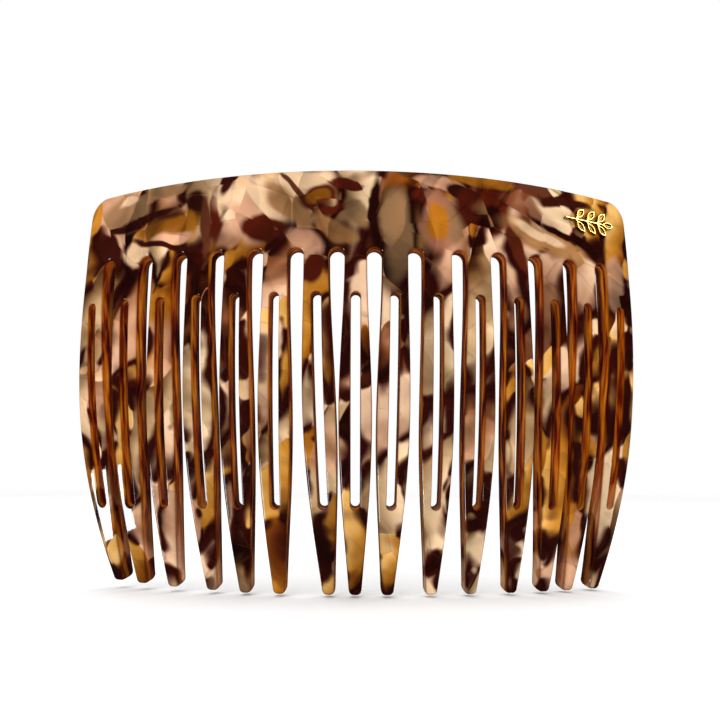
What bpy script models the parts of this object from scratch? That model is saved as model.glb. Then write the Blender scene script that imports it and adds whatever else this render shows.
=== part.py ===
"""A decorative hair comb: a French side comb of marbled acetate with a small gilt leaf emblem.

The acetate is drawn flat, as it is sawn from its sheet: s runs along the comb, z up from the tips and n
into the sheet from its front face. bend() then forms it on two radii, as a former does with the warm sheet.
The real sheet is one piece. Here it is a back and fifteen prongs, parted by PARTING at the prongs' roots.

Frame: +X to the right and +Z up as the comb is worn, -Y out of the domed front face. The origin is in the
middle of the sheet at the roots of the prongs, where the hair stops.
"""
import math

import bmesh
import bpy
from mathutils import Matrix, Vector

MM = 0.001

# The flat sheet, in millimetres
PRONGS = 15
PITCH = 6.4
THICKNESS = 3.2
ROOT = 53.9              # the height of the gaps' round tops
TOP = 66.8               # the height of the top edge, in the middle
HALF_LENGTH = 47.9       # at the prongs' roots
TOP_RADIUS = 690.0       # of the arched top edge
CORNER_RADIUS = 3.6
GAP = 2.4                # the saw cut between two prongs
SLOT = 1.5               # the slot down the middle of each prong
SLOT_BOTTOM = 13.7
SLOT_TOP = 46.9
PARTING = 0.3            # between the back and a prong, and around the emblem

# A prong's width, from its root through its belly to its tip
BELLY_HEIGHT = 27.0
BELLY_WIDTH = 5.2
TIP_WIDTH = 2.1
TIP_RADIUS = 0.9
TAPER_POWER = 1.15
OUTER_EXTRA = 0.6        # the end prongs' outer legs are this much wider at the belly

# The gaps and the tips that stray from an even pitch, and by how much
STRAY_GAPS = {1: -1.0, 8: -0.5, 9: -0.5}
STRAY_TIPS = {1: 1.5, 4: 1.0, 5: 0.5, 7: 2.0, 9: -1.0, 11: 0.5, 12: 1.5, 13: 1.5, 15: -0.5}
SHORT_TIPS = 4           # the leftmost tips are ground shorter, the first one most
TRIM_STEP = 0.25
BOW_POWER = 1.5          # how late down its length a prong moves over
END_BOW_POWER = 2.5

# The former
HEAD_RADIUS = 90.0       # of the front face, around the head
PROFILE_RADIUS = 152.0   # of the front face, from top to tip
APEX = 45.5              # where the front face stands upright

# The emblem and its seat
EMBLEM_S = 39.3
EMBLEM_Z = 60.6
EMBLEM_TILT = -3.0       # degrees
SEAT_LENGTH = 10.9
SEAT_WIDTH = 5.1
SEAT_DEPTH = 0.4
EMBLEM_THICKNESS = 0.7
STEM_LENGTH = 10.2
STEM_WIDTH = 0.5
LEAF_PAIRS = 3
LEAF_SPACING = 2.15
LEAF_LENGTH = 2.6
LEAF_WIDTH = 1.3
LEAF_POWER = 1.2
LEAF_ANGLE = 48.0        # degrees from the stem
PIN_RADIUS = 0.4
PIN_LENGTH = 1.4
PIN_SPREAD = 2.4         # each pin's distance from the emblem's middle

# How finely the solids are faceted
LEVELS = 13              # down a prong
ROUND_STEPS = 6          # on a half circle
ARCH_STEPS = 15
LEAF_STEPS = 6


def tip_trim(j):
    """What is ground off the tip of prong j (1 to 15)."""
    return TRIM_STEP * max(0, SHORT_TIPS + 1 - j)


def gap_centre(i):
    """Where gap i (1 to 14) is cut, along the sheet."""
    return PITCH * (i - PRONGS / 2) + STRAY_GAPS.get(i, 0.0)


def root_edges(j):
    """The two sides of prong j (1 to 15) at its root."""
    left = -HALF_LENGTH if j == 1 else gap_centre(j - 1) + GAP / 2
    right = HALF_LENGTH if j == PRONGS else gap_centre(j) - GAP / 2
    return left, right


def prong_centre(j, z):
    left, right = root_edges(j)
    root = (left + right) / 2
    tip = PITCH * (j - (PRONGS + 1) / 2) + STRAY_TIPS.get(j, 0.0)
    power = END_BOW_POWER if j in (1, PRONGS) else BOW_POWER
    down = max(0.0, 1 - z / ROOT)
    return root + (tip - root) * down ** power


def prong_width(j, z):
    """Swells from the root to the belly, then tapers to the tip."""
    if z >= BELLY_HEIGHT:
        left, right = root_edges(j)
        up = min(1.0, (z - BELLY_HEIGHT) / (ROOT - GAP / 2 - BELLY_HEIGHT))
        swell = 0.5 + 0.5 * math.cos(math.pi * up)
        return right - left + (BELLY_WIDTH - right + left) * swell
    taper = math.sin(math.pi / 2 * z / BELLY_HEIGHT) ** TAPER_POWER
    return TIP_WIDTH + (BELLY_WIDTH - TIP_WIDTH) * taper


def prong_edges(j, z):
    centre = prong_centre(j, z)
    half = prong_width(j, z) / 2
    extra = OUTER_EXTRA * math.sin(math.pi * min(1.0, z / (ROOT - GAP / 2)))
    left = centre - half - (extra if j == 1 else 0)
    right = centre + half + (extra if j == PRONGS else 0)
    return left, right


def arc(centre, radius, start, end, steps):
    """Points on an arc, both ends included. Angles are in degrees."""
    angles = [math.radians(start + (end - start) * k / steps) for k in range(steps + 1)]
    return [(centre[0] + radius * math.cos(a), centre[1] + radius * math.sin(a)) for a in angles]


def spread(low, high, steps):
    return [low + (high - low) * k / steps for k in range(steps + 1)]


def prong_outline(j):
    """Down the left side, round the tip and up the right side."""
    rounding = tip_trim(j) + TIP_RADIUS
    heights = spread(ROOT - GAP / 2 - PARTING, rounding, LEVELS)
    left_side = [(prong_edges(j, z)[0], z) for z in heights]
    right_side = [(prong_edges(j, z)[1], z) for z in reversed(heights)]
    left, right = prong_edges(j, rounding)
    quarter = ROUND_STEPS // 2
    left_corner = arc((left + TIP_RADIUS, rounding), TIP_RADIUS, 180, 270, quarter)
    right_corner = arc((right - TIP_RADIUS, rounding), TIP_RADIUS, 270, 360, quarter)
    return left_side[:-1] + left_corner + right_corner + right_side[1:]


def slot_outline(j):
    r = SLOT / 2
    low, high = SLOT_BOTTOM + r, SLOT_TOP - r
    heights = spread(low, high, LEVELS - 4)
    right_side = [(prong_centre(j, z) + r, z) for z in heights[1:-1]]
    left_side = [(prong_centre(j, z) - r, z) for z in reversed(heights[1:-1])]
    bottom = arc((prong_centre(j, low), low), r, 180, 360, ROUND_STEPS)
    top = arc((prong_centre(j, high), high), r, 0, 180, ROUND_STEPS)
    return bottom + right_side + top + left_side


def top_height(s):
    return TOP - TOP_RADIUS + math.sqrt(TOP_RADIUS ** 2 - s ** 2)


def back_outline():
    """Up the left end, over the top, down the right end, and back along the gaps' round tops."""
    foot = ROOT - GAP / 2
    shoulder = HALF_LENGTH - CORNER_RADIUS
    lean = math.degrees(math.asin(shoulder / TOP_RADIUS))
    corner_height = top_height(shoulder) - CORNER_RADIUS
    left_corner = arc((-shoulder, corner_height), CORNER_RADIUS, 180, 90 + lean, ROUND_STEPS)
    right_corner = arc((shoulder, corner_height), CORNER_RADIUS, 90 - lean, 0, ROUND_STEPS)
    arch = [(s, top_height(s)) for s in spread(-shoulder, shoulder, ARCH_STEPS)[1:-1]]
    outline = [(-HALF_LENGTH, foot)] + left_corner + arch + right_corner + [(HALF_LENGTH, foot)]
    for i in range(PRONGS - 1, 0, -1):
        outline += arc((gap_centre(i), foot), GAP / 2, 0, 180, ROUND_STEPS)
    return outline


def bend_raw(s, z, n):
    lean = (z - APEX) / PROFILE_RADIUS
    sink = PROFILE_RADIUS * (1 - math.cos(lean))
    radius = HEAD_RADIUS - sink - n * math.cos(lean)
    turn = s / HEAD_RADIUS
    height = PROFILE_RADIUS * math.sin(lean) - n * math.sin(lean)
    return Vector((radius * math.sin(turn), HEAD_RADIUS - radius * math.cos(turn), height))


def bend(s, z, n):
    """A point of the flat sheet, formed, in metres from the origin."""
    return (bend_raw(s, z, n) - bend_raw(0, ROOT, THICKNESS / 2)) * MM


def add_loop(bm, outline):
    verts = [bm.verts.new((x, y, 0)) for x, y in outline]
    return [bm.edges.new((verts[k - 1], verts[k])) for k in range(len(verts))]


def extruded(loops, cuts, thickness):
    """A flat plate with these outlines, cut across at some heights and lengths so that it can bend."""
    bm = bmesh.new()
    edges = [edge for outline in loops for edge in add_loop(bm, outline)]
    bmesh.ops.triangle_fill(bm, use_beauty=True, edges=edges)
    for place, direction in cuts:
        parts = bm.verts[:] + bm.edges[:] + bm.faces[:]
        bmesh.ops.bisect_plane(bm, geom=parts, dist=1e-4, plane_co=place, plane_no=direction)
    bmesh.ops.triangulate(bm, faces=bm.faces[:])
    made = bmesh.ops.extrude_face_region(bm, geom=bm.faces[:])
    lifted = [v for v in made["geom"] if isinstance(v, bmesh.types.BMVert)]
    bmesh.ops.translate(bm, verts=lifted, vec=(0, 0, thickness))
    return bm


def make_object(bm, name, material):
    """Its faces are turned to point out first."""
    bmesh.ops.recalc_face_normals(bm, faces=bm.faces[:])
    if bm.calc_volume(signed=True) < 0:
        bmesh.ops.reverse_faces(bm, faces=bm.faces[:])
    mesh = bpy.data.meshes.new(name)
    bm.to_mesh(mesh)
    bm.free()
    mesh.shade_smooth()
    mesh.set_sharp_from_angle(angle=math.radians(30))
    if material:
        mesh.materials.append(material)
    piece = bpy.data.objects.new(name, mesh)
    bpy.context.collection.objects.link(piece)
    return piece


def sheet_piece(name, loops, cuts, material):
    """A piece of the sheet: its flat plate, formed."""
    bm = extruded(loops, cuts, THICKNESS)
    for vert in bm.verts:
        s, z, n = vert.co
        vert.co = bend(s, z, n)
    return make_object(bm, name, material)


def principled(name, colour, roughness, metallic):
    material = bpy.data.materials.new(name)
    material.use_nodes = True
    shader = material.node_tree.nodes["Principled BSDF"]
    shader.inputs["Base Color"].default_value = (*colour, 1)
    shader.inputs["Roughness"].default_value = roughness
    shader.inputs["Metallic"].default_value = metallic
    return material


def emblem_frame():
    """Stands on the front face in the emblem's middle: x along the stem, z out of the comb."""
    step = 0.01
    here = bend(EMBLEM_S, EMBLEM_Z, 0)
    along = (bend(EMBLEM_S + step, EMBLEM_Z, 0) - here).normalized()
    up = (bend(EMBLEM_S, EMBLEM_Z + step, 0) - here).normalized()
    out = along.cross(up).normalized()
    up = out.cross(along)
    axes = Matrix((along, up, out)).transposed().to_4x4()
    return Matrix.Translation(here) @ axes @ Matrix.Rotation(math.radians(EMBLEM_TILT), 4, "Z")


def leaf(base, angle):
    """A leaf's outline: a foot on the stem, out to its tip along one side and home along the other."""
    axis = Vector((math.cos(angle), math.sin(angle)))
    side = Vector((-axis.y, axis.x))
    outline = []
    for way, steps in ((-1, range(1, LEAF_STEPS + 1)), (1, range(LEAF_STEPS - 1, 0, -1))):
        for k in steps:
            t = k / LEAF_STEPS
            half = LEAF_WIDTH / 2 * math.sin(math.pi * t) ** LEAF_POWER
            outline.append(Vector(base) + axis * LEAF_LENGTH * t + side * way * half)
    return [(p.x, p.y) for p in outline]


def sprig_outline():
    """Along the lower side of the stem, round the leaf at its end, and home along the upper side."""
    start = -STEM_LENGTH / 2
    half = STEM_WIDTH / 2
    foot = STEM_WIDTH / 2
    angle = math.radians(LEAF_ANGLE)
    last = STEM_LENGTH / 2 - LEAF_LENGTH
    bases = [last - LEAF_SPACING * (k + 0.4) for k in range(LEAF_PAIRS)]
    lower = []
    for x in reversed(bases):
        lower += [(x - foot, -half)] + leaf((x, -half), -angle) + [(x + foot, -half)]
    upper = []
    for x in bases:
        upper += [(x + foot, half)] + leaf((x, half), angle) + [(x - foot, half)]
    end = [(last, -half)] + leaf((last, 0), 0) + [(last, half)]
    return [(start, half), (start, -half)] + lower + end + upper


def prism(outline, low, high):
    """An upright prism in the emblem's frame, in millimetres, moved onto the comb."""
    bm = extruded([outline], [], high - low)
    bmesh.ops.translate(bm, verts=bm.verts[:], vec=(0, 0, low))
    bmesh.ops.scale(bm, verts=bm.verts[:], vec=(MM, MM, MM))
    bmesh.ops.transform(bm, verts=bm.verts[:], matrix=emblem_frame())
    return bm


def disc(x, radius):
    return arc((x, 0), radius, 0, 360, 2 * ROUND_STEPS)[:-1]


def rounded_rectangle(length, width, radius):
    x, y = length / 2 - radius, width / 2 - radius
    corners = ((x, y, 0), (-x, y, 90), (-x, -y, 180), (x, -y, 270))
    outline = []
    for cx, cy, start in corners:
        outline += arc((cx, cy), radius, start, start + 90, ROUND_STEPS // 2)
    return outline


def boolean(piece, tool, operation):
    """The tool stays in the file as a hidden guide."""
    tool.hide_render = True
    tool.display_type = "WIRE"
    modifier = piece.modifiers.new(operation.title(), "BOOLEAN")
    modifier.operation = operation
    modifier.solver = "EXACT"
    modifier.object = tool


def make_back(acetate):
    foot = ROOT - GAP / 2
    levels = [((0, z, 0), (0, 1, 0)) for z in spread(foot, TOP, 4)[1:-1]]
    columns = [((gap_centre(i) + side * GAP / 2, 0, 0), (1, 0, 0))
               for i in range(1, PRONGS) for side in (-1, 1)]
    back = sheet_piece("back", [back_outline()], levels + columns, acetate)
    seat = rounded_rectangle(SEAT_LENGTH, SEAT_WIDTH, 1.2)
    boolean(back, make_object(prism(seat, -SEAT_DEPTH, 1), "seat_cutter", None), "DIFFERENCE")
    hole_depth = SEAT_DEPTH + PIN_LENGTH
    for name, x in (("left", -PIN_SPREAD), ("right", PIN_SPREAD)):
        hole = prism(disc(x, PIN_RADIUS + PARTING), -hole_depth, 1)
        boolean(back, make_object(hole, f"pin_hole_cutter_{name}", None), "DIFFERENCE")
    return back


def make_prong(j, acetate):
    heights = spread(ROOT - GAP / 2 - PARTING, tip_trim(j) + TIP_RADIUS, LEVELS)
    levels = [((0, z, 0), (0, 1, 0)) for z in heights[1:-1]]
    return sheet_piece(f"prong_{j:02d}", [prong_outline(j), slot_outline(j)], levels, acetate)


def make_emblem(gilt):
    floor = PARTING - SEAT_DEPTH
    plate = prism(sprig_outline(), floor, floor + EMBLEM_THICKNESS)
    emblem = make_object(plate, "emblem", gilt)
    for name, x in (("left", -PIN_SPREAD), ("right", PIN_SPREAD)):
        pin = prism(disc(x, PIN_RADIUS), floor - PIN_LENGTH, floor + EMBLEM_THICKNESS / 2)
        boolean(emblem, make_object(pin, f"pin_{name}_guide", None), "UNION")
    return emblem


def main():
    for old in list(bpy.data.objects):
        bpy.data.objects.remove(old)
    acetate = principled("marbled_acetate", (0.40, 0.22, 0.11), 0.15, 0.0)
    gilt = principled("gilt", (0.83, 0.62, 0.28), 0.25, 1.0)
    make_back(acetate)
    for j in range(1, PRONGS + 1):
        make_prong(j, acetate)
    make_emblem(gilt)


main()
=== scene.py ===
# %% [markdown]
# # A marbled hair comb
#
# A French side comb is sawn from one sheet of marbled acetate, tumbled until its edges are round,
# polished, and pressed warm over a former so that it follows the head. A small gilt emblem sits near
# one top corner. This lesson makes both pieces around their imported solids, and then their finishes.
#
# The imported model is loaded first. It fixes where everything is, and its box is kept.

import math

import bmesh
import bpy
import numpy as np
from mathutils import Matrix, Vector
from mathutils.geometry import delaunay_2d_cdt


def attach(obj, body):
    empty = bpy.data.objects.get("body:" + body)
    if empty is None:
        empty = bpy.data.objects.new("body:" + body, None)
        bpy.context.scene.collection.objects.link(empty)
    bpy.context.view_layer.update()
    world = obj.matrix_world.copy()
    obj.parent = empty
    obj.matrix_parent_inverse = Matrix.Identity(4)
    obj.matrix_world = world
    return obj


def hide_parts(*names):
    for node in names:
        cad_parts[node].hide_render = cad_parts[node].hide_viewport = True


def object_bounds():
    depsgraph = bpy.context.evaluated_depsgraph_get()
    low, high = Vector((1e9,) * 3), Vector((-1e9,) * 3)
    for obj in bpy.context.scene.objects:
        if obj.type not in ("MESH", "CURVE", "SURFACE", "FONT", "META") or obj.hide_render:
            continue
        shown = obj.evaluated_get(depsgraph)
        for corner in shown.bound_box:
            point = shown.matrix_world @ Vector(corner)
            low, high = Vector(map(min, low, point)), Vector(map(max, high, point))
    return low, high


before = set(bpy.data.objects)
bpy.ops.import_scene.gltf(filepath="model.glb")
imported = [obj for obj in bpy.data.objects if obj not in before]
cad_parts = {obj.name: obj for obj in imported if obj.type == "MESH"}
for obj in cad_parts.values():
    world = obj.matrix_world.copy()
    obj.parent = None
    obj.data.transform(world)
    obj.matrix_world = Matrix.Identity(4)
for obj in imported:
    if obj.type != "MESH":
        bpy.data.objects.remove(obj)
cad_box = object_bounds()
print("packed nodes:", len(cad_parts))

# %% [markdown]
# ## The flat sheet
#
# The comb is drawn flat, as it is sawn. On the sheet, s runs along the comb, z runs up from the tips
# and n runs into the sheet from its front face, all in millimetres. Working flat keeps every outline
# simple: a gap is a saw cut with a round end, and a prong is a width and a centre line.

# %% The sheet's dimensions
MM = 0.001
PRONGS = 15
PITCH = 6.4
THICKNESS = 3.2
ROOT = 53.9
TOP = 66.8
HALF_LENGTH = 47.9
TOP_RADIUS = 690.0
CORNER_RADIUS = 3.6
GAP = 2.4
SLOT = 1.5
SLOT_BOTTOM = 13.7
SLOT_TOP = 46.9
BELLY_HEIGHT = 27.0
BELLY_WIDTH = 5.2
TIP_WIDTH = 2.1
TIP_RADIUS = 0.9
TAPER_POWER = 1.15
OUTER_EXTRA = 0.6
# The gaps and the tips that stray from an even pitch, and by how much
STRAY_GAPS = {1: -1.0, 8: -0.5, 9: -0.5}
STRAY_TIPS = {1: 1.5, 4: 1.0, 5: 0.5, 7: 2.0, 9: -1.0, 11: 0.5, 12: 1.5, 13: 1.5, 15: -0.5}
SHORT_TIPS = 4           # the leftmost tips are ground shorter, the first one most
TRIM_STEP = 0.25
BOW_POWER = 1.5
END_BOW_POWER = 2.5
print("flat comb:", 2 * HALF_LENGTH, "mm by", TOP, "mm")

# %% [markdown]
# ## A prong's edges
#
# Each prong swells from its root to a belly and then tapers to its tip. Neither the roots nor the
# tips keep an even pitch, so each prong bows gently from one to the other.

# %% Where a prong's sides run
def gap_centre(i):
    return PITCH * (i - PRONGS / 2) + STRAY_GAPS.get(i, 0.0)


def root_edges(j):
    left = -HALF_LENGTH if j == 1 else gap_centre(j - 1) + GAP / 2
    right = HALF_LENGTH if j == PRONGS else gap_centre(j) - GAP / 2
    return left, right


def prong_centre(j, z):
    left, right = root_edges(j)
    root = (left + right) / 2
    tip = PITCH * (j - (PRONGS + 1) / 2) + STRAY_TIPS.get(j, 0.0)
    power = END_BOW_POWER if j in (1, PRONGS) else BOW_POWER
    return root + (tip - root) * max(0.0, 1 - z / ROOT) ** power


def prong_width(j, z):
    if z >= BELLY_HEIGHT:
        left, right = root_edges(j)
        up = min(1.0, (z - BELLY_HEIGHT) / (ROOT - GAP / 2 - BELLY_HEIGHT))
        return right - left + (BELLY_WIDTH - right + left) * (0.5 + 0.5 * math.cos(math.pi * up))
    taper = math.sin(math.pi / 2 * z / BELLY_HEIGHT) ** TAPER_POWER
    return TIP_WIDTH + (BELLY_WIDTH - TIP_WIDTH) * taper


def prong_edges(j, z):
    centre = prong_centre(j, z)
    half = prong_width(j, z) / 2
    extra = OUTER_EXTRA * math.sin(math.pi * min(1.0, z / (ROOT - GAP / 2)))
    return (centre - half - (extra if j == 1 else 0),
            centre + half + (extra if j == PRONGS else 0))


print("width of prong 8 at its belly:", round(prong_width(8, BELLY_HEIGHT), 2), "mm")

# %% [markdown]
# ## One outline and fifteen slots
#
# The whole comb is one outline with fifteen slots in it. The outline goes up the left end, over the
# arched top, down the right end, and then down and up every prong. Drawing it in one go leaves no
# seam where a prong meets the back, because the real sheet has none.

# %% Outlines
STEP = 1.3               # between points along a straight side
GAP_STEPS = 16
SLOT_STEPS = 12
TIP_STEPS = 7
CORNER_STEPS = 12


def arc(centre, radius, start, end, steps):
    turns = [math.radians(start + (end - start) * k / steps) for k in range(steps + 1)]
    return [(centre[0] + radius * math.cos(a), centre[1] + radius * math.sin(a)) for a in turns]


def spread(low, high, step=STEP):
    steps = max(1, round(abs(high - low) / step))
    return [low + (high - low) * k / steps for k in range(steps + 1)]


def top_height(s):
    return TOP - TOP_RADIUS + math.sqrt(TOP_RADIUS ** 2 - s ** 2)


def around_prong(j):
    """Down the right side of a prong, round its tip and up its left side."""
    foot = ROOT - GAP / 2
    rounding = TRIM_STEP * max(0, SHORT_TIPS + 1 - j) + TIP_RADIUS
    heights = spread(foot, rounding)
    left, right = prong_edges(j, rounding)
    down = [(prong_edges(j, z)[1], z) for z in heights[1:-1]]
    right_corner = arc((right - TIP_RADIUS, rounding), TIP_RADIUS, 0, -90, TIP_STEPS)
    left_corner = arc((left + TIP_RADIUS, rounding), TIP_RADIUS, -90, -180, TIP_STEPS)
    up = [(prong_edges(j, z)[0], z) for z in reversed(heights[1:-1])]
    return down + right_corner + left_corner + up


def comb_outline():
    foot = ROOT - GAP / 2
    shoulder = HALF_LENGTH - CORNER_RADIUS
    lean = math.degrees(math.asin(shoulder / TOP_RADIUS))
    corner_height = top_height(shoulder) - CORNER_RADIUS
    outline = [(-HALF_LENGTH, z) for z in spread(foot, corner_height)[:-1]]
    outline += arc((-shoulder, corner_height), CORNER_RADIUS, 180, 90 + lean, CORNER_STEPS)
    outline += [(s, top_height(s)) for s in spread(-shoulder, shoulder)[1:-1]]
    outline += arc((shoulder, corner_height), CORNER_RADIUS, 90 - lean, 0, CORNER_STEPS)
    outline += [(HALF_LENGTH, z) for z in spread(corner_height, foot)[1:]]
    for j in range(PRONGS, 0, -1):
        outline += around_prong(j)
        if j > 1:
            outline += arc((gap_centre(j - 1), foot), GAP / 2, 0, 180, GAP_STEPS)
    return outline


def slot_outline(j):
    r = SLOT / 2
    low, high = SLOT_BOTTOM + r, SLOT_TOP - r
    heights = spread(low, high)[1:-1]
    right_side = [(prong_centre(j, z) + r, z) for z in heights]
    left_side = [(prong_centre(j, z) - r, z) for z in reversed(heights)]
    bottom = arc((prong_centre(j, low), low), r, 180, 360, SLOT_STEPS)
    top = arc((prong_centre(j, high), high), r, 0, 180, SLOT_STEPS)
    return bottom + right_side + top + left_side


outlines = [comb_outline()] + [slot_outline(j) for j in range(1, PRONGS + 1)]
print("points on the outlines:", sum(len(line) for line in outlines))

# %% [markdown]
# ## Tumbled edges
#
# Days in a tumbling drum round every edge. A rounded edge is a quarter of an ellipse: its points step
# in from the outline and out towards the face together. Each outline becomes a stack of such rings,
# from the front face down the wall to the back face. The rounding grows towards the tips, which end
# like a bullet, and it is least in the slots, where little can reach. Each point also remembers which
# way its surface faces, because the eye follows a reflection more closely than it follows a shape.

# %% Rings from the front face to the back face
EDGE_TURNS = (90, 67.5, 45, 22.5, 0)      # degrees round an edge, from the face to the wall
EDGE_IN, EDGE_DEEP = 0.58, 0.62
SLOT_IN, SLOT_DEEP = 0.36, 0.45
TIP_IN, TIP_DEEP = 0.82, 1.15
TIP_REACH = 9.0                           # how far up a prong its tip's extra rounding goes
TIP_FADE = 1.5


def inward(line, is_hole):
    """For each point, the direction in the sheet that leads away from the cut and into the acetate."""
    points = np.array(line)
    along = np.roll(points, -1, axis=0) - points
    along /= np.linalg.norm(along, axis=1)[:, None]
    along = along + np.roll(along, 1, axis=0)
    along /= np.linalg.norm(along, axis=1)[:, None]
    area = np.sum(points[:, 0] * np.roll(points[:, 1], -1) - points[:, 1] * np.roll(points[:, 0], -1))
    side = np.stack([-along[:, 1], along[:, 0]], axis=1) * np.sign(area)
    return points, -side if is_hole else side


def edge_size(z, is_hole):
    if is_hole:
        return np.full_like(z, SLOT_IN), np.full_like(z, SLOT_DEEP)
    tip = np.clip(1 - z / TIP_REACH, 0, 1) ** TIP_FADE
    return EDGE_IN + (TIP_IN - EDGE_IN) * tip, EDGE_DEEP + (TIP_DEEP - EDGE_DEEP) * tip


def edge_ring(points, side, size, turn, from_back):
    """Flat places and facings of one ring of a rounded edge."""
    reach, deep = size
    a = math.radians(turn)
    place = points + side * (reach * (1 - math.cos(a)))[:, None]
    n = deep * (1 - math.sin(a))
    facing = np.column_stack([-side * (math.cos(a) / reach)[:, None], -math.sin(a) / deep])
    facing /= np.linalg.norm(facing, axis=1)[:, None]
    if from_back:
        n = THICKNESS - n
        facing[:, 2] *= -1
    return np.column_stack([place, n]), facing


def rings_of(line, is_hole):
    points, side = inward(line, is_hole)
    size = edge_size(points[:, 1], is_hole)
    front = [edge_ring(points, side, size, turn, False) for turn in EDGE_TURNS]
    back = [edge_ring(points, side, size, turn, True) for turn in reversed(EDGE_TURNS)]
    wall = np.column_stack([points, np.full(len(points), THICKNESS / 2)])
    facing = np.column_stack([-side, np.zeros(len(points))])
    return front + [(wall, facing)] + back


print("rings from face to face:", 2 * len(EDGE_TURNS) + 1)

# %% [markdown]
# ## Filling the faces
#
# The innermost rings bound the two polished faces. A Delaunay fill joins them with even triangles,
# with extra points scattered over the wide back, where long triangles would not follow the dome.

# %% The whole flat comb
FILL_STEP = 2.2
FILL_MARGIN = 1.6


def scattered():
    """Rows of points over the back, every second row moved by half a step."""
    found = []
    rows = spread(ROOT + FILL_MARGIN, TOP - FILL_MARGIN, FILL_STEP)
    for row, z in enumerate(rows):
        for s in spread(-HALF_LENGTH + 2 * FILL_MARGIN, HALF_LENGTH - 2 * FILL_MARGIN, FILL_STEP):
            along = s + (row % 2) * FILL_STEP / 2
            if abs(along) < HALF_LENGTH - FILL_MARGIN and z < top_height(along) - FILL_MARGIN:
                found.append((along, z))
    return found


def face_triangles(loops, extra):
    """Triangles between the loops, as numbers into the loops' points followed by the extra points."""
    points = [Vector(p) for loop in loops for p in loop] + [Vector(p) for p in extra]
    edges = []
    owner = []
    for number, loop in enumerate(loops):
        start = len(owner)
        owner += [number] * len(loop)
        edges += [(start + k, start + (k + 1) % len(loop)) for k in range(len(loop))]
    owner += [-1] * len(extra)
    made = delaunay_2d_cdt(points, edges, [], 1, 1e-6)
    faces, originals = made[2], made[3]
    kept = []
    for face in faces:
        corners = [originals[k][0] for k in face]
        owners = {owner[k] for k in corners}
        if len(owners) == 1 and min(owners) > 0:
            continue                      # this one lies in a slot
        kept.append(corners)
    return kept


def flat_comb():
    places, facings, quads, triangles = [], [], [], []
    first, last = [], []                  # numbers of the points on the two faces' bounding rings
    count = 0
    for number, line in enumerate(outlines):
        rings = rings_of(line, number > 0)
        size = len(line)
        for place, facing in rings:
            places.append(place)
            facings.append(facing)
        for k in range(len(rings) - 1):
            near, far = count + k * size, count + (k + 1) * size
            quads += [(near + i, near + (i + 1) % size, far + (i + 1) % size, far + i)
                      for i in range(size)]
        first.append(list(range(count, count + size)))
        last.append(list(range(count + (len(rings) - 1) * size, count + len(rings) * size)))
        count += len(rings) * size
    extra = scattered()
    flat = np.concatenate(places)
    for bounding, n, way in ((first, 0.0, -1.0), (last, THICKNESS, 1.0)):
        loops = [[tuple(flat[k][:2]) for k in ring] for ring in bounding]
        numbers = [k for ring in bounding for k in ring] + list(range(count, count + len(extra)))
        places.append(np.array([(s, z, n) for s, z in extra]))
        facings.append(np.tile((0.0, 0.0, way), (len(extra), 1)))
        count += len(extra)
        triangles += [[numbers[k] for k in corners] for corners in face_triangles(loops, extra)]
    return np.concatenate(places), np.concatenate(facings), quads + triangles


flat, flat_facing, comb_faces = flat_comb()
print("flat comb:", len(flat), "points,", len(comb_faces), "faces")

# %% [markdown]
# ## Pressed over the former
#
# The warm sheet takes two curves at once, round the head and gently from top to tip. bend() does the
# same to every point. A facing is turned by the same bend: it is built from how the bend moves a tiny
# step along s, z and n, so that reflections run across the comb without a ripple.

# %% Bending
HEAD_RADIUS = 90.0
PROFILE_RADIUS = 152.0
APEX = 45.5              # height at which the sheet stands upright
TINY = 0.01              # the small step that a direction is measured by


def bend_raw(points):
    s, z, n = points[..., 0], points[..., 1], points[..., 2]
    lean = (z - APEX) / PROFILE_RADIUS
    radius = HEAD_RADIUS - PROFILE_RADIUS * (1 - np.cos(lean)) - n * np.cos(lean)
    turn = s / HEAD_RADIUS
    return np.stack([radius * np.sin(turn), HEAD_RADIUS - radius * np.cos(turn),
                     (PROFILE_RADIUS - n) * np.sin(lean)], axis=-1)


ORIGIN = bend_raw(np.array([0.0, ROOT, THICKNESS / 2]))


def bend(points):
    return (bend_raw(np.asarray(points, dtype=float)) - ORIGIN) * MM


def bend_facing(points, facing):
    s, z, n = [(bend(points + TINY * axis) - bend(points - TINY * axis)) for axis in np.eye(3)]
    turned = (facing[:, :1] * np.cross(z, n) + facing[:, 1:2] * np.cross(n, s)
              + facing[:, 2:] * np.cross(s, z))
    turned *= np.sign(np.sum(np.cross(s, z) * n, axis=1))[:, None]
    return turned / np.linalg.norm(turned, axis=1)[:, None]


set_back = bend((HALF_LENGTH, ROOT, 0.0))[1] - bend((0.0, ROOT, 0.0))[1]
print("the comb's ends lie", round(float(set_back) / MM, 1), "mm behind its middle")

# %% [markdown]
# The bent points and their faces become one closed mesh. Each point keeps its flat coordinates, and
# how far its surface faces along the sheet, for the finish to read.

# %% The comb
def solid_from(name, points, faces):
    """A closed mesh with its faces turned to point out."""
    mesh = bpy.data.meshes.new(name)
    mesh.from_pydata([tuple(p) for p in points], [], faces)
    bm = bmesh.new()
    bm.from_mesh(mesh)
    bmesh.ops.recalc_face_normals(bm, faces=bm.faces[:])
    if bm.calc_volume(signed=True) < 0:
        bmesh.ops.reverse_faces(bm, faces=bm.faces[:])
    bmesh.ops.triangulate(bm, faces=[f for f in bm.faces if len(f.verts) > 4])
    bm.to_mesh(mesh)
    loose = sum(1 for e in bm.edges if len(e.link_faces) != 2)
    bm.free()
    print(name, "has", len(mesh.vertices), "points and", loose, "open edges")
    return mesh


def keep_attribute(mesh, name, kind, values):
    made = mesh.attributes.new(name, kind, "POINT")
    made.data.foreach_set("vector" if kind == "FLOAT_VECTOR" else "value",
                          np.ascontiguousarray(values, dtype=np.float32).ravel())


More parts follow.
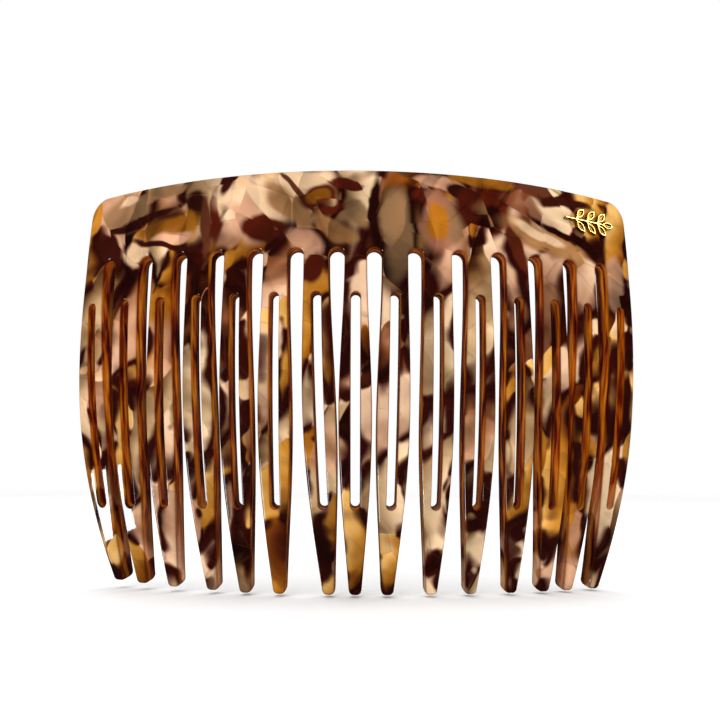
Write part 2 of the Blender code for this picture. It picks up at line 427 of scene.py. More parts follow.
def put(name, mesh):
    piece = bpy.data.objects.new(name, mesh)
    bpy.context.collection.objects.link(piece)
    return piece


comb_mesh = solid_from("polished_comb", bend(flat), comb_faces)
comb_mesh.shade_smooth()
comb_mesh.normals_split_custom_set_from_vertices([tuple(v) for v in bend_facing(flat, flat_facing)])
keep_attribute(comb_mesh, "sheet", "FLOAT_VECTOR", flat)
keep_attribute(comb_mesh, "sawn", "FLOAT", 1 - np.abs(flat_facing[:, 2]))
comb = put("polished_comb", comb_mesh)
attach(comb, "root")
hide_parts("back", *[f"prong_{j:02d}" for j in range(1, PRONGS + 1)])

# %% [markdown]
# ## The gilt emblem
#
# The emblem is a sprig of leaves, cast in brass, gilded and polished. Each leaf is a raised rim round
# a sunken floor with a midrib, like a tiny frame. Casting fuses such strokes into one piece, and a
# voxel remesh does the same here: the strokes are tubes and thin plates that overlap, and the remesh
# gives them one skin that runs softly from one to the next. It works in millimetres, and the result
# is then moved onto the comb.

# %% Strokes of the sprig
EMBLEM_S, EMBLEM_Z, EMBLEM_TILT = 39.3, 60.6, -3.0
STEM_LENGTH = 10.2
LEAF_PAIRS = 3
LEAF_SPACING = 2.15
LEAF_LENGTH, LEAF_WIDTH, LEAF_POWER, LEAF_ANGLE = 2.6, 1.3, 1.2, 48.0
RIM = 0.15               # radius of a leaf's raised rim
RIB, RIB_LIFT, RIB_TAPER = 0.11, 0.04, 0.4
LEAF_STEPS = 14
LEAF_OFFSET = 0.16       # from the stem's middle line to a leaf's foot
FIRST_PAIR = 0.4         # in leaf spacings, from the last leaf's foot
STEM_RADIUS, STEM_SIDES, STEM_STEPS = 0.24, 14, 12
STEM_END = 0.3
FOOT_HALF = 0.2
EMBLEM_FLOOR = -0.1      # height of the emblem's underside, from the front face
EMBLEM_TOP = 0.6
PLATE_TOP = 0.3
VOXEL = 0.055


def tube(path, radii, sides=10):
    """A round bar along a path of 3-D points, closed at both ends."""
    path = [Vector(p) for p in path]
    points, faces = [], []
    for k, here in enumerate(path):
        along = (path[min(k + 1, len(path) - 1)] - path[max(k - 1, 0)]).normalized()
        side = along.cross(Vector((0, 0, 1))).normalized()
        up = side.cross(along)
        for m in range(sides):
            a = 2 * math.pi * m / sides
            points.append(here + (side * math.cos(a) + up * math.sin(a)) * radii[k])
    for k in range(len(path) - 1):
        for m in range(sides):
            a, b = k * sides + m, k * sides + (m + 1) % sides
            faces.append((a, b, b + sides, a + sides))
    faces.append(tuple(reversed(range(sides))))
    faces.append(tuple(range((len(path) - 1) * sides, len(path) * sides)))
    return points, faces


def plate(outline, low, high):
    """A flat piece with upright sides."""
    size = len(outline)
    points = [(x, y, low) for x, y in outline] + [(x, y, high) for x, y in outline]
    faces = [tuple(reversed(range(size))), tuple(range(size, 2 * size))]
    faces += [(k, (k + 1) % size, size + (k + 1) % size, size + k) for k in range(size)]
    return points, faces


def leaf_strokes(base, angle):
    axis = Vector((math.cos(angle), math.sin(angle)))
    side = Vector((-axis.y, axis.x))
    shares = [k / LEAF_STEPS for k in range(LEAF_STEPS + 1)]
    halves = [LEAF_WIDTH / 2 * math.sin(math.pi * t) ** LEAF_POWER for t in shares]
    edge = {way: [Vector(base) + axis * LEAF_LENGTH * t + side * way * h
                  for t, h in zip(shares, halves)] for way in (-1, 1)}
    height = EMBLEM_TOP - RIM
    strokes = [plate([tuple(p) for p in edge[-1]] + [tuple(p) for p in reversed(edge[1][1:-1])],
                     EMBLEM_FLOOR, PLATE_TOP)]
    for way in (-1, 1):
        inset = [p - side * way * min(RIM, h) for p, h in zip(edge[way], halves)]
        inset = [p - axis * RIM * max(0.0, 4 * t - 3) for p, t in zip(inset, shares)]
        strokes.append(tube([(p.x, p.y, height) for p in inset], [RIM] * len(inset)))
    middle = [Vector(base) + axis * LEAF_LENGTH * t for t in shares]
    strokes.append(tube([(p.x, p.y, PLATE_TOP + RIB_LIFT) for p in middle[:-2]],
                        [RIB * (1 - RIB_TAPER * t) for t in shares[:-2]]))
    return strokes


def sprig_strokes():
    angle = math.radians(LEAF_ANGLE)
    last = STEM_LENGTH / 2 - LEAF_LENGTH
    strokes = leaf_strokes((last, 0), 0)
    for k in range(LEAF_PAIRS):
        x = last - LEAF_SPACING * (k + FIRST_PAIR)
        for way in (-1, 1):
            strokes += leaf_strokes((x, way * LEAF_OFFSET), way * angle)
    start = -STEM_LENGTH / 2 + STEM_END
    reach = [start + (last + STEM_LENGTH / 2 - STEM_END) * k / STEM_STEPS for k in range(STEM_STEPS + 1)]
    strokes.append(tube([(x, 0, EMBLEM_TOP - STEM_RADIUS) for x in reach],
                        [STEM_RADIUS] * len(reach), STEM_SIDES))
    end = last + STEM_END
    foot = [(start, -FOOT_HALF), (end, -FOOT_HALF), (end, FOOT_HALF), (start, FOOT_HALF)]
    strokes.append(plate(foot, EMBLEM_FLOOR, PLATE_TOP))
    return strokes


print("strokes of the sprig:", len(sprig_strokes()))

# %% [markdown]
# The strokes are fused and softened, and the sprig is laid on the front face with its stem along the
# comb. Each point remembers how high it stands, so that the gilt can be brighter on the rims and
# darker in the sunken floors, which is painted shade there as well as duller gilt.

# %% Casting the sprig
SOFTENING = 3            # rounds of smoothing


def cast(name, strokes, voxel, softening):
    points, faces = [], []
    for stroke_points, stroke_faces in strokes:
        start = len(points)
        points += [tuple(p) for p in stroke_points]
        faces += [tuple(start + k for k in face) for face in stroke_faces]
    rough = put(name + "_strokes", solid_from(name + "_strokes", points, faces))
    remesh = rough.modifiers.new("Fuse", "REMESH")
    remesh.mode = "VOXEL"
    remesh.voxel_size = voxel
    smooth = rough.modifiers.new("Soften", "SMOOTH")
    smooth.factor = 0.5
    smooth.iterations = softening
    seen = rough.evaluated_get(bpy.context.evaluated_depsgraph_get())
    mesh = bpy.data.meshes.new_from_object(seen)
    mesh.name = name
    bpy.data.objects.remove(rough)
    return mesh


def emblem_frame():
    """Stands on the front face in the emblem's middle: x along the stem, z out of the comb."""
    here, beside, above = [Vector(bend((EMBLEM_S + ds, EMBLEM_Z + dz, 0.0)))
                           for ds, dz in ((0, 0), (0.01, 0), (0, 0.01))]
    along = (beside - here).normalized()
    out = along.cross(above - here).normalized()
    axes = Matrix((along, out.cross(along), out)).transposed().to_4x4()
    return Matrix.Translation(here) @ axes @ Matrix.Rotation(math.radians(EMBLEM_TILT), 4, "Z")


emblem_mesh = cast("gilt_sprig", sprig_strokes(), VOXEL, SOFTENING)
heights = np.array([v.co.z for v in emblem_mesh.vertices])
standing = np.clip((heights - PLATE_TOP) / (EMBLEM_TOP - PLATE_TOP), 0, 1)
keep_attribute(emblem_mesh, "relief", "FLOAT", standing)
emblem_mesh.transform(emblem_frame() @ Matrix.Scale(MM, 4))
emblem_mesh.shade_smooth()
emblem = put("gilt_sprig", emblem_mesh)
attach(emblem, "root")
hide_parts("emblem")
print("sprig:", len(emblem_mesh.polygons), "faces, highest point", round(float(heights.max()), 2), "mm")

# %% [markdown]
# ## Writing a finish
#
# A material is a net of nodes, and sums are hard to read in it. Wire holds one output socket, so that
# `1 - mask * 0.5` can be written as it is said, and each sign adds its Math node. Finish holds the
# material and makes every other kind of node.

# %% A socket that can be reckoned with
class Wire:
    """One value on its way through a material."""

    def __init__(self, finish, socket):
        self.finish = finish
        self.socket = socket

    def math(self, operation, first, second):
        return self.finish.add("Math", {"operation": operation}, {0: first, 1: second})

    def __add__(self, other):
        return self.math("ADD", self, other)

    def __sub__(self, other):
        return self.math("SUBTRACT", self, other)

    def __rsub__(self, other):
        return self.math("SUBTRACT", other, self)

    def __mul__(self, other):
        return self.math("MULTIPLY", self, other)

    def __truediv__(self, other):
        return self.math("DIVIDE", self, other)

    def __pow__(self, other):
        return self.math("POWER", self, other)

    __radd__ = __add__
    __rmul__ = __mul__


class Finish:
    """A material, and the one way to add a node to it."""

    def __init__(self, name):
        self.material = bpy.data.materials.new(name)
        self.material.use_nodes = True
        self.tree = self.material.node_tree
        self.shader = self.tree.nodes["Principled BSDF"]

    def add(self, kind, settings=None, sockets=None, out=0):
        node = self.tree.nodes.new("ShaderNode" + kind)
        for key, value in (settings or {}).items():
            if key == "stops":
                self.set_stops(node.color_ramp, value)
            else:
                setattr(node, key, value)
        for key, value in (sockets or {}).items():
            self.feed(node.inputs[key], value)
        return Wire(self, node.outputs[out])

    def feed(self, socket, value):
        if isinstance(value, Wire):
            self.tree.links.new(value.socket, socket)
        else:
            socket.default_value = value

    def set_stops(self, ramp, stops):
        while len(ramp.elements) < len(stops):
            ramp.elements.new(0.5)
        for element, (place, colour) in zip(ramp.elements, stops):
            element.position = place
            element.color = (*colour, 1)


def srgb(red, green, blue):
    """A colour as it is picked from a swatch, 0 to 255, made linear."""
    parts = [c / 255 for c in (red, green, blue)]
    return tuple(c / 12.92 if c <= 0.04045 else ((c + 0.055) / 1.055) ** 2.4 for c in parts)


print("mid grey made linear:", round(srgb(128, 128, 128)[0], 3))

# %% [markdown]
# ## Marbled acetate
#
# Marbled acetate is pressed from chips of many colours. Heat and pressure fold the chips into one
# another, so each one shades from light to dark across its width and stops at a fold. The finish
# repeats that. The sheet's flat coordinates are warped, as flow warps the chips, and Voronoi cells
# give the chips. The distance across each cell, in a direction of its own, says how light it is, and
# the cell's own random number says whether it is a pink, an amber or a pearl chip.

# %% Swatches
DARK = srgb(56, 8, 0)
BROWN = srgb(90, 34, 8)
PINKS = ((0.0, DARK), (0.16, srgb(102, 44, 16)), (0.34, srgb(148, 90, 56)), (0.56, srgb(188, 136, 100)),
         (0.78, srgb(206, 162, 130)), (1.0, srgb(220, 184, 152)))
AMBERS = ((0.0, DARK), (0.16, srgb(108, 42, 0)), (0.34, srgb(154, 84, 6)), (0.56, srgb(184, 120, 32)),
          (0.78, srgb(200, 142, 58)), (1.0, srgb(216, 170, 100)))
PEARLS = ((0.0, DARK), (0.16, srgb(98, 56, 24)), (0.34, srgb(144, 106, 68)),
          (0.56, srgb(182, 146, 106)), (0.78, srgb(202, 170, 130)), (1.0, srgb(220, 190, 154)))
ORANGE = srgb(160, 78, 12)
print("shades of a pink, an amber and a pearl chip:", len(PINKS), len(AMBERS), len(PEARLS))

# %% [markdown]
# The finish starts from two attributes of the mesh: the flat coordinates, and how far a point faces
# along the sheet, which is nothing on the two faces and whole on a cut wall.

# %% Building blocks of the marbling
acetate = Finish("marbled_acetate")
sheet = acetate.add("Attribute", {"attribute_name": "sheet"}, out="Vector")
sawn = acetate.add("Attribute", {"attribute_name": "sawn"}, out="Fac")


def vector(operation, first, second=(0, 0, 0), out=0):
    return acetate.add("VectorMath", {"operation": operation}, {0: first, 1: second}, out)


def noise(place, size, detail=2.0, out="Fac"):
    return acetate.add("TexNoise", {"normalize": True},
                       {"Vector": place, "Scale": 1 / size, "Detail": detail}, out)


def moved(place, step):
    return vector("ADD", place, step)


def stretched(place, turn, along, across, deep):
    """The place, turned in the sheet by some degrees and measured in chips of this size."""
    turned = acetate.add("VectorRotate", {"rotation_type": "Z_AXIS"},
                         {"Vector": place, "Angle": math.radians(-turn)})
    return vector("DIVIDE", turned, (along, across, deep))


def warped(place, size, amount, seed):
    push = noise(moved(place, (seed, -seed, seed / 2)), size, 1.0, "Color")
    return vector("ADD", place, vector("MULTIPLY", vector("SUBTRACT", push, (0.5, 0.5, 0.5)),
                                       (2 * amount, 2 * amount, amount)))


def between(value, low, high, at_low=0.0, at_high=1.0):
    """Runs smoothly from at_low to at_high as the value goes from low to high."""
    return acetate.add("MapRange", {"interpolation_type": "SMOOTHSTEP"},
                       {"Value": value, "From Min": low, "From Max": high,
                        "To Min": at_low, "To Max": at_high})


def mix(share, first, second, blend="MIX"):
    opaque = [(*c, 1) if isinstance(c, tuple) else c for c in (first, second)]
    return acetate.add("Mix", {"data_type": "RGBA", "blend_type": blend},
                       {0: share, 6: opaque[0], 7: opaque[1]}, 2)


def ramp(value, stops):
    return acetate.add("ValToRGB", {"stops": stops}, {0: value})


def grey(value):
    return acetate.add("CombineColor", None, {0: value, 1: value, 2: value})


print("the finish reads", sheet.socket.node.attribute_name, "and", sawn.socket.node.attribute_name)

# %% [markdown]
# A chip is a Voronoi cell of the warped and stretched sheet. It gives a colour at random, a slope from
# one side of the cell to the other, and the distance from its border.

# %% Chips
CHIP_TURN = 74           # degrees from along the comb
CHIP_SIZE = (17.0, 5.8, 5.0)
CHIP_SOFTNESS = 0.12


def chips(place, seed, softness):
    cell = {"Vector": moved(place, (seed, seed, 0)), "Scale": 1.0, "Randomness": 1.0}
    soft = dict(cell, Smoothness=softness)
    setting = {"voronoi_dimensions": "3D", "feature": "SMOOTH_F1"}
    colour = acetate.add("TexVoronoi", setting, soft, "Color")
    centre = acetate.add("TexVoronoi", setting, soft, "Position")
    edge = acetate.add("TexVoronoi", {"voronoi_dimensions": "3D", "feature": "DISTANCE_TO_EDGE"}, cell)
    across = vector("SUBTRACT", cell["Vector"], centre)
    way = vector("NORMALIZE", vector("SUBTRACT", colour, (0.5, 0.5, 0.5)))
    slope = vector("DOT_PRODUCT", across, way, out="Value")
    return colour, slope, edge


def part_of(colour, channel):
    return acetate.add("SeparateColor", None, {0: colour}, channel)


flow = warped(warped(sheet, 17.0, 7.0, 3.0), 6.0, 1.8, 41.0)
chip_colour, chip_slope, chip_edge = chips(stretched(flow, CHIP_TURN, *CHIP_SIZE), 7.3, CHIP_SOFTNESS)
cloud = noise(flow, 7.0) - 0.5
height = acetate.add("SeparateXYZ", None, {0: sheet}, "Y")
tone = (part_of(chip_colour, "Red") - 0.5) * 0.5
light = between(height, 44.0, 52.0, 0.72, 0.64) + chip_slope * 0.8 + tone + cloud * 0.7
kind = part_of(chip_colour, "Green") + (noise(moved(sheet, (20, 5, 3)), 9.0) - 0.5) * 0.8
amber_share = between(kind, 0.60, 0.70)
pearl_share = between(kind, 0.42, 0.34)
warm = mix(amber_share, ramp(light, PINKS), ramp(light, AMBERS))
marble = mix(pearl_share, warm, ramp(light, PEARLS))
print("chips of", CHIP_SIZE[0], "by", CHIP_SIZE[1], "mm, turned by", CHIP_TURN, "degrees")

# %% [markdown]
# Dark folds run along some of the chips' borders, each with an orange halo where light gets through
# its thin edge.

# %% Folds
fold_width = between(noise(moved(sheet, (9, 70, 0)), 8.0), 0.38, 0.62, 0.0, 0.24)
fold_there = between(fold_width, 0.02, 0.08)
halo = between(chip_edge, 0.0, fold_width * 1.9 + 0.01, 1.0, 0.0) * fold_there
fold = between(chip_edge, fold_width * 0.2, fold_width + 0.04, 1.0, 0.0) * fold_there
marble = mix(halo * 0.55, marble, mix(0.7, marble, ORANGE, "MULTIPLY"))
marble = mix(fold, marble, DARK)
print("nodes up to the folds:", len(acetate.tree.nodes))

# %% [markdown]
# The pearl in the acetate has cracked and crumpled into facets, each a little lighter or darker
# across its width, with a thin straight crease between some of them.

# %% The facets
FACET_TURN = -38
FACET_SIZE = (9.0, 4.2, 6.0)
FACET_SOFTNESS = 0.03

facet_place = stretched(warped(sheet, 14.0, 3.0, 83.0), FACET_TURN, *FACET_SIZE)
facet_colour, facet_slope, facet_edge = chips(facet_place, 2.1, FACET_SOFTNESS)
facet_pick = part_of(facet_colour, "Green")
print("facets of", FACET_SIZE[0], "by", FACET_SIZE[1], "mm, turned by", FACET_TURN, "degrees")

# %% [markdown]
# ## The back's own marbling
#
# The wide back shows whole chips and folds, so their places matter there: a pale oval between two
# dark folds in the middle, a red-brown cloud on either side of it, a long cream sweep towards the
# emblem. Each is a dab: a soft ellipse at a place on the sheet, in a colour. Warping the coordinates
# first makes the ellipses as irregular as pressed chips.

# %% Dabs
CREAM = srgb(222, 188, 152)
SHELL = srgb(208, 158, 126)
ROSE = srgb(166, 112, 84)
CLAY = srgb(126, 70, 42)
MAUVE = srgb(98, 52, 30)
RED = srgb(88, 26, 4)
BLACK = srgb(44, 6, 0)
STONE = srgb(148, 112, 78)
SAND = srgb(168, 120, 74)
GOLD = srgb(176, 112, 22)
OLIVE = srgb(134, 82, 14)
PLUM = srgb(62, 18, 6)

# gaps along, mm above the gaps' roots, half length, half width, degrees, colour, strength
DABS = (
    (1.25, 8, 6.5, 3.5, 15, STONE, 0.9),
    (2.25, 11, 7, 1.5, 10, STONE, 0.9),
    (1.25, 9.5, 3, 1, 30, CREAM, 0.8),
    (2, 6.5, 9.5, 1, 15, PLUM, 1),
    (3.5, 8, 2.5, 2.5, 60, PLUM, 1),
    (2.75, 5, 7, 2, 10, OLIVE, 0.9),
    (3.25, 4.5, 1.5, 3, 0, GOLD, 0.8),
    (2.75, 3, 4.5, 1.5, 5, SHELL, 0.95),
    (1.75, 1, 2.5, 2, 0, CREAM, 0.9),
    (2.75, 1.5, 8.5, 0.8, -10, PLUM, 1),
    (3.75, 5, 5.5, 1.2, 90, MAUVE, 1),
    (4, 6.5, 5.5, 1, 90, RED, 1),
    (0.75, 2, 4, 1.5, -60, PLUM, 1),
    (5, 8, 8.5, 5, -15, CREAM, 0.95),
    (4.75, 5, 4.5, 3, -60, SHELL, 0.9),
    (5.75, 7, 5.5, 1.8, -50, SAND, 0.9),
    (4.25, 11, 1.2, 2.5, 0, PLUM, 1),
    (5.25, 3, 4, 2.2, -10, RED, 1),
    (6.25, 1, 4, 2, -20, SHELL, 0.8),
    (6.25, 11.5, 4.5, 1.5, 5, CREAM, 0.9),
    (6, 9, 4.5, 0.4, -55, MAUVE, 1),
    (6.5, 8.5, 3, 2, 15, BROWN, 1),
    (6.5, 8.5, 2, 1.3, 15, OLIVE, 0.95),
    (7, 6.5, 4, 1, 20, RED, 1),
    (7.25, 11, 3, 0.8, -5, RED, 1),
    (7.5, 5.5, 3.5, 2, -60, STONE, 0.9),
    (7, 2.5, 4, 1.5, -35, SAND, 0.8),
    (6.5, -3, 3, 1.5, 80, RED, 1),
    (8, 6.5, 7, 1.2, 90, BLACK, 1),
    (8.5, 3.5, 9.5, 3.5, 90, BLACK, 1),
    (8.5, 3.5, 8.5, 2.3, 90, STONE, 1),
    (9.25, 8.5, 3.5, 3, 0, RED, 1),
    (9.5, 3.5, 5.5, 3, 90, ROSE, 0.95),
    (9.5, 3.5, 2.5, 1.5, 90, GOLD, 0.95),
    (9.5, 11, 4.5, 1.2, -10, SHELL, 0.85),
    (10, 4.5, 4.5, 1.5, 75, STONE, 0.9),
    (10.75, 11.5, 6, 1, -5, GOLD, 0.85),
    (10.25, 9, 3, 1, -25, PLUM, 1),
    (10.75, 6.5, 5, 4, 65, RED, 1),
    (10.75, 5.5, 3, 2, 60, BLACK, 1),
    (11.75, 8, 4.5, 2.5, -30, CLAY, 0.85),
    (12, 11, 4.5, 1.2, -10, MAUVE, 1),
    (12.25, 3, 9.5, 2.5, -20, SAND, 0.95),
    (12, 4, 6, 1.2, -20, CREAM, 0.9),
    (13, 3.5, 8.5, 0.9, -25, BLACK, 1),
    (11.5, 1, 5.5, 0.9, -60, BROWN, 1),
    (13, 9.5, 5, 0.9, 0, PLUM, 1),
    (14, -1.5, 0.9, 3.5, -10, PLUM, 1),
    (14.5, -3, 2, 5, 0, SHELL, 0.85),
)


DAB_DEPTH = 7.0          # over twice the sheet's thickness, so that a dab goes right through
DAB_EDGE = (1.18, 0.72)  # where a dab starts and where it has its full strength, in half sizes


def dab(below, gaps, up, half_length, half_width, turn, colour, strength):
    """A soft ellipse of one colour over what is below it."""
    place = (PITCH * (gaps - PRONGS / 2), ROOT + up, 0)
    inside = acetate.add("Mapping", {"vector_type": "TEXTURE"},
                         {"Vector": pressed, "Location": place, "Rotation": (0, 0, math.radians(turn)),
                          "Scale": (half_length, half_width, DAB_DEPTH)})
    reach = vector("LENGTH", inside, out="Value") + broken
    return mix(between(reach, *DAB_EDGE, 0.0, strength), below, colour)


pressed = warped(warped(sheet, 9.0, 2.2, 57.0), 3.0, 0.5, 11.0)
broken = (facet_pick - 0.5) * 0.5 + facet_slope * 0.25
for row in DABS:
    marble = dab(marble, *row)
marble = mix(1.0, marble, grey(0.9 + cloud * 1.3 + chip_slope * 0.5), "MULTIPLY")
print("dabs on the back:", len(DABS))

# %% [markdown]
# The facets lighten and darken what the dabs have made, and creases run along some of their borders.
# A last step deepens the whole a little.

# %% Facets and creases
marble = mix(1.0, marble, grey(0.86 + facet_pick * 0.2 + facet_slope * 0.2), "MULTIPLY")
crease = between(facet_edge, 0.006, 0.035, 1.0, 0.0) * between(noise(sheet, 11.0), 0.50, 0.60)
marble = mix(crease * 0.22, marble, MAUVE)
marble = acetate.add("Gamma", None, {0: marble, 1: 1.12})
print("nodes up to the creases:", len(acetate.tree.nodes))

# %% [markdown]
# ## The cut walls
#
# Light comes a long way through a sawn wall, so it looks like dark honey. The layers of the sheet
# show there as streaks along the prong. A wall is painted darker towards the hollow side and along
# its rounded rim, and that darkening is painted shade. There is less honey near the tips and along
# the top edge, where more of the marbling shows.

# %% Walls
STREAK_SIZE = (3.0, 9.0, 0.9)
HONEYS = ((0.38, srgb(40, 0, 0)), (0.46, srgb(104, 20, 0)), (0.53, srgb(164, 76, 0)),
          (0.62, srgb(192, 110, 4)), (0.76, srgb(222, 150, 44)))
AMBER_GLASS = srgb(240, 140, 30)
WALL_SHADE = srgb(44, 2, 0)

wall_place = vector("DIVIDE", warped(sheet, 12.0, 2.4, 19.0), STREAK_SIZE)
honey = ramp(noise(wall_place, 1.0, 2.0), HONEYS)
honey = mix(0.2, honey, mix(1.0, marble, AMBER_GLASS, "MULTIPLY"))
depth = acetate.add("SeparateXYZ", None, {0: sheet}, "Z")
# painted shade: the wall is painted darker towards its hollow back side, where the gap is in shadow
shade = between(depth + noise(sheet, 8.0) * 2.0, 2.2, 3.6, 0.0, 0.75)
honey = mix(shade, honey, WALL_SHADE)
# the rounded rim between a face and a wall, which is given painted shade below
rim = between(sawn, 0.25, 0.6) * between(sawn, 0.97, 0.7)
near_tips = between(height, 1.0, 22.0, 0.35, 1.0)
near_top = between(height, 55.0, 60.0, 1.0, 0.3)
on_wall = between(sawn, 0.3, 0.75) * near_tips * near_top
body_colour = mix(on_wall, marble, honey)
# painted shade: the rounded rim is painted half way to DARK
body_colour = mix(rim * 0.5, body_colour, DARK)
print("nodes up to the walls:", len(acetate.tree.nodes))

# %% [markdown]
# A clear coat carries the polish. Under it the acetate mirrors very little, and its surface has faint
# ripples and a fine grain. The walls give off a weak light of their own, which stands for the light
# that comes through them.

# %% Polish
WALL_GLOW = 0.22
POLISH = {"Coat Weight": 1.0, "Coat Roughness": 0.03, "Coat IOR": 1.48, "Specular IOR Level": 0.05}

ripple = noise(sheet, 6.0, 1.0)
grain = noise(sheet, 0.5, 2.0)
polish = acetate.add("Bump", None, {"Strength": 0.25, "Distance": 0.0002,
                                    "Height": ripple + grain * 0.02})
shader = acetate.shader.inputs
acetate.feed(shader["Base Color"], body_colour)
acetate.feed(shader["Normal"], polish)
acetate.feed(shader["Emission Color"], mix(on_wall * (1 - rim * 0.5), (0, 0, 0), honey))
shader["Emission Strength"].default_value = WALL_GLOW
acetate.feed(shader["Roughness"], 0.38 + grain * 0.1)
for name, value in POLISH.items():
    shader[name].default_value = value
comb_mesh.materials.append(acetate.material)
print("marbled acetate:", len(acetate.tree.nodes), "nodes")

# %% [markdown]
# ## Gilt
#
# Gilding is a thin layer of gold on brass. It stays bright and smooth on the raised rims, where
# fingers polish it, and is rougher in the sunken floors. Its colour is darker in the floors too, which
# is painted shade there as well as duller gilt.

# %% The gilt finish
SUNKEN_GILT_DULL_AND_SHADED = srgb(150, 96, 26)
RAISED_GILT = srgb(244, 200, 112)

gilt = Finish("gilt")
relief = gilt.add("Attribute", {"attribute_name": "relief"}, out="Fac")
spot = gilt.add("TexCoord", out="Object")
pitting = gilt.add("TexNoise", None, {"Vector": spot, "Scale": 4000.0, "Detail": 3.0})
# painted shade and duller gilt: the colour runs from the sunken floors' dark gold up to the rims' bright
# gold
gilt_dull_and_shaded_low = gilt.add("Mix", {"data_type": "RGBA"},
                  {0: relief, 6: (*SUNKEN_GILT_DULL_AND_SHADED, 1), 7: (*RAISED_GILT, 1)}, 2)
gilt.feed(gilt.shader.inputs["Base Color"], gilt_dull_and_shaded_low)
gilt.feed(gilt.shader.inputs["Roughness"], 0.34 - relief * 0.16 + pitting * 0.08)
gilt.shader.inputs["Metallic"].default_value = 1.0
pits = gilt.add("Bump", None, {"Strength": 0.2, "Distance": 0.00002, "Height": pitting})
gilt.feed(gilt.shader.inputs["Normal"], pits)
emblem_mesh.materials.append(gilt.material)
print("gilt:", len(gilt.tree.nodes), "nodes")

# %% [markdown]
# ## The studio
#
# The comb stands on its tips on a pale floor, which fades out far from the comb, in a white room that
# reflections hardly see.

# %% Floor and world
FLOOR_HALF = 4.0
FLOOR_DROP = 0.0001
FADE_START, FADE_END = 0.25, 0.9
ROOM_LIGHT, ROOM_MIRRORED, ROOM_SEEN = 0.68, 0.02, 1.0


def floor_mesh(half, height):
    corners = [(x * half, y * half, height) for x, y in ((-1, -1), (1, -1), (1, 1), (-1, 1))]
    mesh = bpy.data.meshes.new("pale_floor")
    mesh.from_pydata(corners, [], [(0, 1, 2, 3)])
    return mesh


floor = put("pale_floor", floor_mesh(FLOOR_HALF, cad_box[0][2] - FLOOR_DROP))
pale = Finish("pale_floor")
pale.shader.inputs["Base Color"].default_value = (0.9, 0.9, 0.9, 1)
pale.shader.inputs["Roughness"].default_value = 0.9
away = pale.add("VectorMath", {"operation": "LENGTH"}, {0: pale.add("TexCoord", out="Object")}, "Value")
gone = pale.add("MapRange", {"interpolation_type": "SMOOTHSTEP"},
                {"Value": away, "From Min": FADE_START, "From Max": FADE_END})
clear = pale.add("BsdfTransparent")
faded = pale.add("MixShader", None, {0: gone, 1: Wire(pale, pale.shader.outputs[0]), 2: clear})
pale.feed(pale.tree.nodes["Material Output"].inputs["Surface"], faded)
floor.data.materials.append(pale.material)
floor.visible_glossy = False

world = bpy.data.worlds.new("studio")
bpy.context.scene.world = world
world.use_nodes = True
world.cycles.sampling_method = "NONE"
net = world.node_tree
background = net.nodes["Background"]
ray = net.nodes.new("ShaderNodeLightPath")
seen = net.nodes.new("ShaderNodeMix")
glossy = net.nodes.new("ShaderNodeMix")
glossy.inputs["A"].default_value = ROOM_LIGHT
glossy.inputs["B"].default_value = ROOM_MIRRORED
net.links.new(ray.outputs["Is Glossy Ray"], glossy.inputs["Factor"])
net.links.new(glossy.outputs["Result"], seen.inputs["A"])
seen.inputs["B"].default_value = ROOM_SEEN
net.links.new(ray.outputs["Is Camera Ray"], seen.inputs["Factor"])
net.links.new(seen.outputs["Result"], background.inputs["Strength"])
background.inputs["Color"].default_value = (1, 1, 1, 1)
print("floor at", round((cad_box[0][2] - FLOOR_DROP) / MM, 1), "mm")

# %% [markdown]
# Polished acetate mirrors whatever is in front of it, so the three big soft lamps are hidden from
# reflections. The window is a small lamp that is only seen in reflections, and the gleam shines on
# the emblem alone.

# %% Lamps
WINDOW_PLACE, WINDOW_AIM = (-0.49, -0.13, -0.2), (-0.04, 0.01, -0.04)
WINDOW_BLUE = (0.84, 0.92, 1.0)


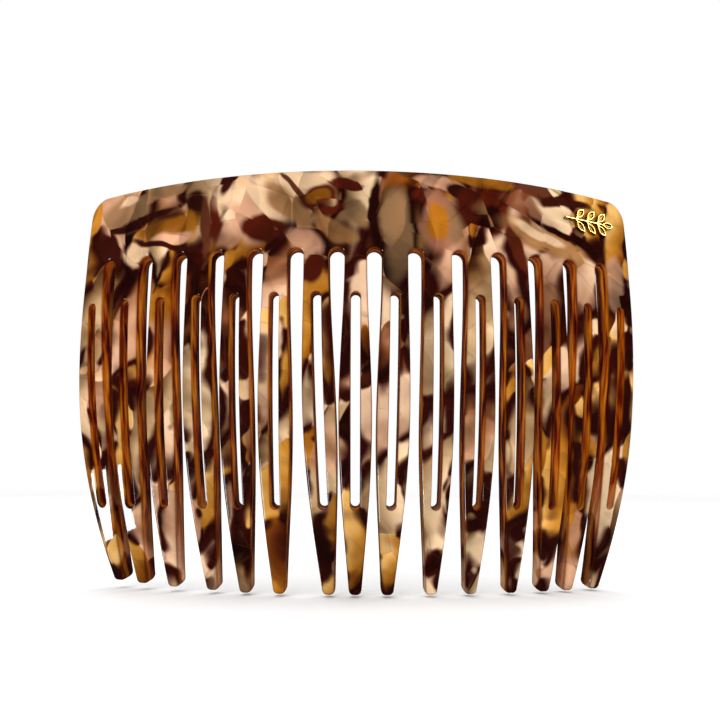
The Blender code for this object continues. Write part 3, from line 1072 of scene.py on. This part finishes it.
def softbox(name, place, aim, size, watts, glints, colour=(1, 1, 1)):
    lamp = bpy.data.lights.new(name, "AREA")
    lamp.shape = "RECTANGLE"
    lamp.size, lamp.size_y = size
    lamp.energy = watts
    lamp.color = colour
    made = bpy.data.objects.new(name, lamp)
    bpy.context.collection.objects.link(made)
    made.location = place
    made.rotation_euler = (Vector(aim) - Vector(place)).to_track_quat("-Z", "Y").to_euler()
    made.visible_glossy = glints
    made.visible_camera = False
    return made


middle = Vector(((cad_box[0][0] + cad_box[1][0]) / 2, 0.005, (cad_box[0][2] + cad_box[1][2]) / 2))
softbox("key", (-0.35, -0.7, 0.7), middle, (0.8, 0.6), 5, False)
softbox("fill", (0.8, -0.6, 0.3), middle, (0.7, 0.7), 2.5, False)
softbox("overhead", (0.0, 0.1, 0.9), middle, (1.0, 0.6), 6, False)
window = softbox("window", WINDOW_PLACE, WINDOW_AIM, (0.10, 0.10), 0.75, True, WINDOW_BLUE)
window.visible_diffuse = False
gleam = softbox("gleam", (0.75, -0.35, 0.45), middle, (0.5, 0.5), 9, True)
gleam.light_linking.receiver_collection = bpy.data.collections.new("gilt_pieces")
gleam.light_linking.receiver_collection.objects.link(emblem)
print("lamps:", len(bpy.data.lights))

# %% [markdown]
# ## The camera
#
# A close camera, a little above the floor and looking slightly up.

# %% Camera
LENS = 43
CAMERA_PLACE = (0.0005, -0.130, -0.0343)
LOOKS_UP, LEANS = 7.5, 0.4                # degrees

camera_data = bpy.data.cameras.new("camera")
camera_data.lens = LENS
camera_data.sensor_width = 36.0
camera_data.clip_start = 0.005
camera = bpy.data.objects.new("camera", camera_data)
bpy.context.collection.objects.link(camera)
up = Matrix.Rotation(math.radians(90 + LOOKS_UP), 4, "X")
lean = Matrix.Rotation(math.radians(LEANS), 4, "Z")
camera.matrix_world = Matrix.Translation(CAMERA_PLACE) @ up @ lean
bpy.context.scene.camera = camera
bpy.context.scene.view_settings.view_transform = "Standard"
print("camera:", LENS, "mm lens,", round(-CAMERA_PLACE[1] / MM), "mm in front of the comb's origin")

# %% [markdown]
# ## The end
#

# %% Updating the scene
bpy.context.view_layer.update()
